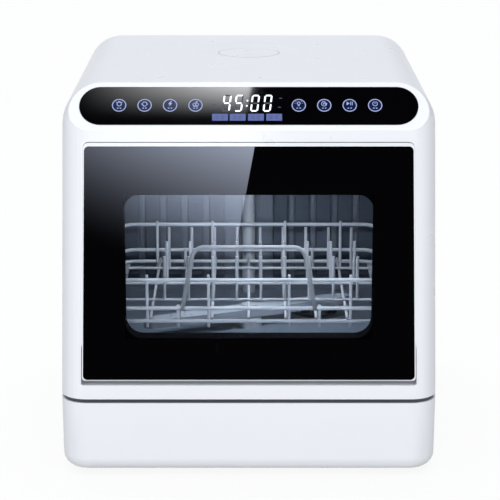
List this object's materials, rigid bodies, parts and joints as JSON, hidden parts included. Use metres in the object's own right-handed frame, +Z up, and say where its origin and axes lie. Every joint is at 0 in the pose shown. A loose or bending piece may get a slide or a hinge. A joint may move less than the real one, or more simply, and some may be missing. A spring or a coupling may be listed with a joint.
{
  "type": "countertop dishwasher",
  "caption": "Small free-standing dishwasher: white housing on a separate base, sloping touch panel, black glass drop-down door with a window and a sliding wire rack.",
  "frame": {"origin": "on the standing surface, under the middle of the housing's bounding box", "axes": "+Z up, the glass door faces -Y, +X is to the right of someone facing the door"},
  "size_m": [0.42, 0.43, 0.44],
  "materials": {
    "housing_white": "glossy white moulded housing, fine even sheen",
    "seam_black": "matte black recessed band",
    "foot_rubber": "soft black rubber",
    "screw_steel": "zinc-plated screws",
    "panel_white": "plain light service panel",
    "bush_plastic": "self-lubricating bush",
    "panel_lens": "high-gloss black touch panel",
    "touch_print": "pale lavender printed ring",
    "display_dark": "dark display module",
    "board_green": "printed circuit board",
    "spring_metal": "coiled contact springs",
    "inner_dark": "dark engineering plastic",
    "switch_red": "microswitch body",
    "tub_slate": "slate blue-grey moulded tub, satin",
    "seal_grey": "grey door seal",
    "inner_grey": "grey moulded plastic",
    "filter_steel": "perforated stainless plate",
    "arm_plastic": "light grey spray arm",
    "pump_dark": "black pump housing",
    "heater_steel": "steel flow heater",
    "tank_clear": "translucent tank",
    "float_orange": "foam-filled float",
    "glass_clear": "tempered glass",
    "glass_black": "tempered front glass",
    "mask_black": "black print behind the glass",
    "spacer_black": "black frame between the panes",
    "liner_slate": "slate inner skin of the door",
    "pin_steel": "ground steel pin",
    "rack_coating": "grey coated wire"
  },
  "bodies": {
    "cabinet": {"base_tray": "housing_white", "foot_front_left": "foot_rubber", "foot_front_right": "foot_rubber", "foot_rear_left": "foot_rubber", "foot_rear_right": "foot_rubber", "base_screws": "screw_steel", "seam_band": "seam_black", "outer_shell": "housing_white", "rear_panel": "panel_white", "rear_screws": "screw_steel", "hinge_bush_left": "bush_plastic", "hinge_bush_right": "bush_plastic", "control_lens": "panel_lens", "touch_rings": "touch_print", "display_module": "display_dark", "control_board": "board_green", "touch_springs": "spring_metal", "latch_catch": "inner_grey", "door_switch": "switch_red", "tub": "tub_slate", "tub_seal": "seal_grey", "rack_rail_left": "inner_grey", "rack_rail_right": "inner_grey", "sump": "inner_grey", "filter_plate": "filter_steel", "arm_hub": "inner_grey", "spray_feed_pipe": "inner_grey", "circulation_pump": "pump_dark", "drain_pump": "pump_dark", "flow_heater": "heater_steel", "water_tank": "tank_clear", "fill_funnel": "panel_white", "fan_housing": "pump_dark", "power_board": "board_green", "drain_connector": "inner_grey", "inlet_connector": "screw_steel", "power_gland": "pump_dark"},
    "door": {"door_frame": "housing_white", "door_glass": "glass_black", "window_mask": "mask_black", "window_spacer": "spacer_black", "inner_window": "glass_clear", "door_liner": "liner_slate", "detergent_cup": "inner_grey", "latch_hook": "inner_dark", "hinge_pin_left": "pin_steel", "hinge_pin_right": "pin_steel", "door_screws": "screw_steel"},
    "rack": {"rack_rails": "rack_coating", "rack_wires": "rack_coating", "rack_floor_wires": "rack_coating", "rack_tines": "rack_coating", "rack_handle": "rack_coating"},
    "lower_arm": {"lower_spray_arm": "arm_plastic"},
    "upper_arm": {"upper_spray_arm": "arm_plastic"},
    "fan": {"fan_rotor": "inner_dark"},
    "cap": {"fill_cap": "housing_white"},
    "filter": {"filter_basket": "inner_dark"},
    "float": {"leak_float": "float_orange"}
  },
  "joints": [
    {"name": "door_open", "type": "hinge", "parent": "cabinet", "child": "door", "pos_m": [0, -0.206, 0.118], "axis": [1, 0, 0], "range_deg": [0, 90]},
    {"name": "rack_slide", "type": "slide", "parent": "cabinet", "child": "rack", "axis": [0, -1, 0], "range_m": [0, 0.11]},
    {"name": "lower_arm_spin", "type": "hinge", "parent": "cabinet", "child": "lower_arm", "pos_m": [0, -0.026, 0.1375], "axis": [0, 0, 1], "continuous": true},
    {"name": "upper_arm_spin", "type": "hinge", "parent": "cabinet", "child": "upper_arm", "pos_m": [0, -0.026, 0.3435], "axis": [0, 0, 1], "continuous": true},
    {"name": "fan_spin", "type": "hinge", "parent": "cabinet", "child": "fan", "pos_m": [-0.112, 0.04, 0.39], "axis": [0, 0, 1], "continuous": true},
    {"name": "cap_lift", "type": "slide", "parent": "cabinet", "child": "cap", "axis": [0, 0, 1], "range_m": [0, 0.03]},
    {"name": "filter_twist", "type": "hinge", "parent": "cabinet", "child": "filter", "pos_m": [0.08, 0.03, 0.12], "axis": [0, 0, 1], "range_deg": [0, 45]},
    {"name": "float_rise", "type": "slide", "parent": "cabinet", "child": "float", "axis": [0, 0, 1], "range_m": [0, 0.012]}
  ],
  "couplings": [
    {"joint": "rack_slide", "follows": "door_open", "m_per_rad": 0.07}
  ]
}
